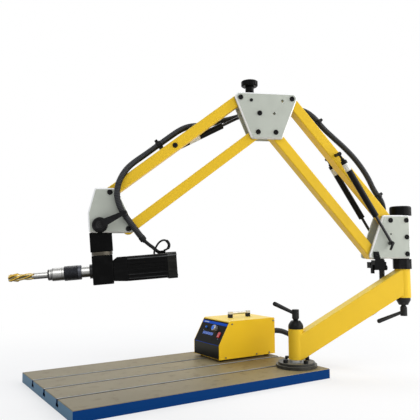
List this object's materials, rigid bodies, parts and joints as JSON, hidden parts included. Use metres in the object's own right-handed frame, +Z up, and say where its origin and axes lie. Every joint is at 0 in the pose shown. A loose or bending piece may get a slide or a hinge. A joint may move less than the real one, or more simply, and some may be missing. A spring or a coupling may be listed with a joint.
{
  "type": "arm tapping machine",
  "caption": "Arm tapping machine: T-slotted table, column with swinging arm, two parallelogram links with gas springs, tilting motor head with tap and a control box.",
  "frame": {"origin": "middle of the table's underside", "axes": "+X along the table's T-slots towards the column's end, +Y across the table towards the control box, +Z up"},
  "size_m": [1.2921, 0.64, 1.0247],
  "materials": {
    "ground_iron": "ground top with a fine crosswise grain",
    "dark_iron": "dark satin",
    "yellow_paint": "smooth gloss powder coat",
    "pale_plate": "satin, bright chamfered edges",
    "black_steel": "black oxide, satin",
    "black_paint": "semi-gloss black",
    "black_plastic": "fine matt",
    "nitrided_rod": "black nitrided, ground smooth",
    "bright_steel": "turned and ground",
    "bronze": "turned",
    "gold_tap": "gold-coloured hard coating",
    "hose_rubber": "corrugated, satin",
    "red_plastic": "gloss",
    "blue_plastic": "gloss",
    "foot_rubber": "matt",
    "drive_metal": "satin"
  },
  "bodies": {
    "table_and_box": {"table": "ground_iron", "flange_bolts": "black_steel", "base_flange": "dark_iron", "base_column": "bright_steel", "control_box_cover": "yellow_paint", "control_box_tray": "yellow_paint", "control_box_panel": "black_paint", "control_box_handle": "black_plastic", "control_box_feet": "foot_rubber", "control_box_screws": "black_steel", "hose_gland": "black_plastic", "servo_drive": "drive_metal"},
    "selector": {"selector_knob": "bright_steel"},
    "button": {"push_button": "blue_plastic"},
    "rocker": {"rocker_switch": "red_plastic"},
    "base_arm": {"base_arm": "yellow_paint", "base_arm_bushes": "bronze", "hose_lower": "hose_rubber"},
    "base_clamp": {"base_clamp_lever": "dark_iron"},
    "shoulder": {"swivel_post": "bright_steel", "post_collar": "black_steel", "shoulder_hub": "black_paint", "shoulder_plate_front": "pale_plate", "shoulder_plate_rear": "pale_plate", "shoulder_bolts": "black_steel", "post_cap": "black_plastic", "hose_hanger": "black_paint"},
    "post_clamp": {"post_clamp_lever": "dark_iron"},
    "hanger_knob": {"hanger_knob": "black_plastic"},
    "upper_right": {"upper_right_beam": "yellow_paint", "right_beam_fittings": "black_steel", "hose_right": "hose_rubber"},
    "lower_right": {"lower_right_beam": "yellow_paint"},
    "right_cylinders": {"right_gas_cylinders": "black_paint"},
    "right_rods": {"right_gas_rods": "nitrided_rod"},
    "elbow": {"elbow_plate_front": "pale_plate", "elbow_plate_rear": "pale_plate", "elbow_spacers": "bright_steel", "elbow_bolts": "black_steel"},
    "elbow_knob": {"elbow_knob": "black_plastic"},
    "upper_left": {"upper_left_beam": "yellow_paint", "left_beam_fittings": "black_steel", "hose_left": "hose_rubber"},
    "lower_left": {"lower_left_beam": "yellow_paint"},
    "left_cylinder": {"left_gas_cylinder": "black_paint"},
    "left_rod": {"left_gas_rod": "nitrided_rod"},
    "head": {"head_plate_front": "pale_plate", "head_plate_rear": "pale_plate", "head_bolts": "black_steel"},
    "tilt_lever": {"tilt_lever": "black_paint"},
    "neck": {"tilt_neck": "black_paint", "swivel_ring": "bright_steel"},
    "motor_head": {"gearbox_block": "black_paint", "motor_body": "black_paint", "motor_cap": "black_plastic", "hose_head": "hose_rubber"},
    "spindle": {"spindle": "bright_steel", "collet_holder": "bright_steel", "tap": "gold_tap"},
    "chuck_sleeve": {"chuck_sleeve": "black_steel"}
  },
  "joints": [
    {"name": "base_swing", "type": "hinge", "parent": "table_and_box", "child": "base_arm", "pos_m": [0.37, -0.178, 0.032], "axis": [0, 0, 1], "range_deg": [-90, 60], "deforming": ["hose_lower"]},
    {"name": "base_clamp_turn", "type": "hinge", "parent": "table_and_box", "child": "base_clamp", "pos_m": [0.37, -0.178, 0.032], "axis": [0, 0, 1], "range_deg": [-60, 120]},
    {"name": "post_swivel", "type": "hinge", "parent": "base_arm", "child": "shoulder", "pos_m": [0.74286, -0.33092, 0.032], "axis": [0, 0, 1], "range_deg": [-120, 120]},
    {"name": "post_clamp_turn", "type": "hinge", "parent": "shoulder", "child": "post_clamp", "pos_m": [0.74286, -0.33092, 0.032], "axis": [0, 0, 1], "range_deg": [-90, 60]},
    {"name": "hanger_knob_turn", "type": "hinge", "parent": "shoulder", "child": "hanger_knob", "pos_m": [0.63286, -0.31715, 0.365], "axis": [0.9252, -0.3795, 0], "range_deg": [-180, 180]},
    {"name": "shoulder_lift", "type": "hinge", "parent": "shoulder", "child": "upper_right", "pos_m": [0.68735, -0.30815, 0.532], "axis": [0.3795, 0.9252, 0], "range_deg": [-18, 22], "deforming": ["hose_right"]},
    {"name": "lower_right_link", "type": "hinge", "parent": "shoulder", "child": "lower_right", "pos_m": [0.63183, -0.28539, 0.413], "axis": [0.3795, 0.9252, 0], "range_deg": [-18.5, 22.5]},
    {"name": "elbow_level", "type": "hinge", "parent": "upper_right", "child": "elbow", "pos_m": [0.36094, -0.17428, 0.95394], "axis": [0.3795, 0.9252, 0], "range_deg": [-22.5, 18.5]},
    {"name": "right_rod_lean", "type": "hinge", "parent": "shoulder", "child": "right_rods", "pos_m": [0.6818, -0.30588, 0.451], "axis": [0.3795, 0.9252, 0], "range_deg": [-15.18, 18.44]},
    {"name": "right_cylinder_lean", "type": "hinge", "parent": "upper_right", "child": "right_cylinders", "pos_m": [0.5099, -0.23538, 0.76138], "axis": [0.3795, 0.9252, 0], "range_deg": [-4.56, 3.82]},
    {"name": "elbow_knob_turn", "type": "hinge", "parent": "elbow", "child": "elbow_knob", "pos_m": [0.22993, -0.12055, 0.95394], "axis": [0, 0, 1], "range_deg": [-180, 180]},
    {"name": "elbow_lift", "type": "hinge", "parent": "elbow", "child": "upper_left", "pos_m": [0.19199, -0.10499, 0.95394], "axis": [0.3795, 0.9252, 0], "range_deg": [-15, 20], "deforming": ["hose_left"]},
    {"name": "lower_left_link", "type": "hinge", "parent": "elbow", "child": "lower_left", "pos_m": [0.24751, -0.12776, 0.83494], "axis": [0.3795, 0.9252, 0], "range_deg": [-15.5, 20.5]},
    {"name": "head_level", "type": "hinge", "parent": "upper_left", "child": "head", "pos_m": [-0.21441, 0.06168, 0.62294], "axis": [0.3795, 0.9252, 0], "range_deg": [-20.5, 15.5], "deforming": ["hose_head"]},
    {"name": "left_rod_lean", "type": "hinge", "parent": "elbow", "child": "left_rod", "pos_m": [0.21003, -0.11239, 0.90894], "axis": [0.3795, 0.9252, 0], "range_deg": [-15.54, 20.56]},
    {"name": "left_cylinder_lean", "type": "hinge", "parent": "upper_left", "child": "left_cylinder", "pos_m": [-0.01564, -0.01984, 0.78483], "axis": [0.3795, 0.9252, 0], "range_deg": [-0.55, 0.56]},
    {"name": "tilt_lever_turn", "type": "hinge", "parent": "head", "child": "tilt_lever", "pos_m": [-0.24309, 0.07344, 0.51594], "axis": [0.3795, 0.9252, 0], "range_deg": [-30, 60]},
    {"name": "head_tilt", "type": "hinge", "parent": "head", "child": "neck", "pos_m": [-0.24309, 0.07344, 0.51594], "axis": [0.3795, 0.9252, 0], "range_deg": [0, 90]},
    {"name": "head_swivel", "type": "hinge", "parent": "neck", "child": "motor_head", "pos_m": [-0.24309, 0.07344, 0.51594], "axis": [-0.0645, 0.0265, 0.9976], "range_deg": [-180, 180]},
    {"name": "spindle_spin", "type": "hinge", "parent": "motor_head", "child": "spindle", "pos_m": [-0.2336, 0.06955, 0.3693], "axis": [0.923, -0.3785, 0.0698], "continuous": true},
    {"name": "chuck_sleeve_slide", "type": "slide", "parent": "spindle", "child": "chuck_sleeve", "axis": [0.923, -0.3785, 0.0698], "range_m": [0, 0.006], "stiffness_N_per_m": 1500, "springref_m": -0.004},
    {"name": "selector_turn", "type": "hinge", "parent": "table_and_box", "child": "selector", "pos_m": [0.21358, 0.09, 0.14147], "axis": [-0.8702, 0, 0.4927], "range_deg": [-135, 135]},
    {"name": "button_press", "type": "slide", "parent": "table_and_box", "child": "button", "axis": [0.8702, 0, -0.4927], "range_m": [0, 0.002], "stiffness_N_per_m": 600, "springref_m": -0.001},
    {"name": "rocker_turn", "type": "hinge", "parent": "table_and_box", "child": "rocker", "pos_m": [0.20481, 0.052, 0.12345], "axis": [0, 1, 0], "range_deg": [-10, 10]}
  ],
  "couplings": [
    {"joint": "lower_right_link", "follows": "shoulder_lift", "ratio": 1},
    {"joint": "elbow_level", "follows": "shoulder_lift", "ratio": -1},
    {"joint": "right_rod_lean", "follows": "shoulder_lift", "ratio": 0.8155},
    {"joint": "right_cylinder_lean", "follows": "shoulder_lift", "ratio": -0.1845},
    {"joint": "lower_left_link", "follows": "elbow_lift", "ratio": 1},
    {"joint": "head_level", "follows": "elbow_lift", "ratio": -1},
    {"joint": "left_rod_lean", "follows": "elbow_lift", "ratio": 1.003},
    {"joint": "left_cylinder_lean", "follows": "elbow_lift", "ratio": 0.003}
  ]
}
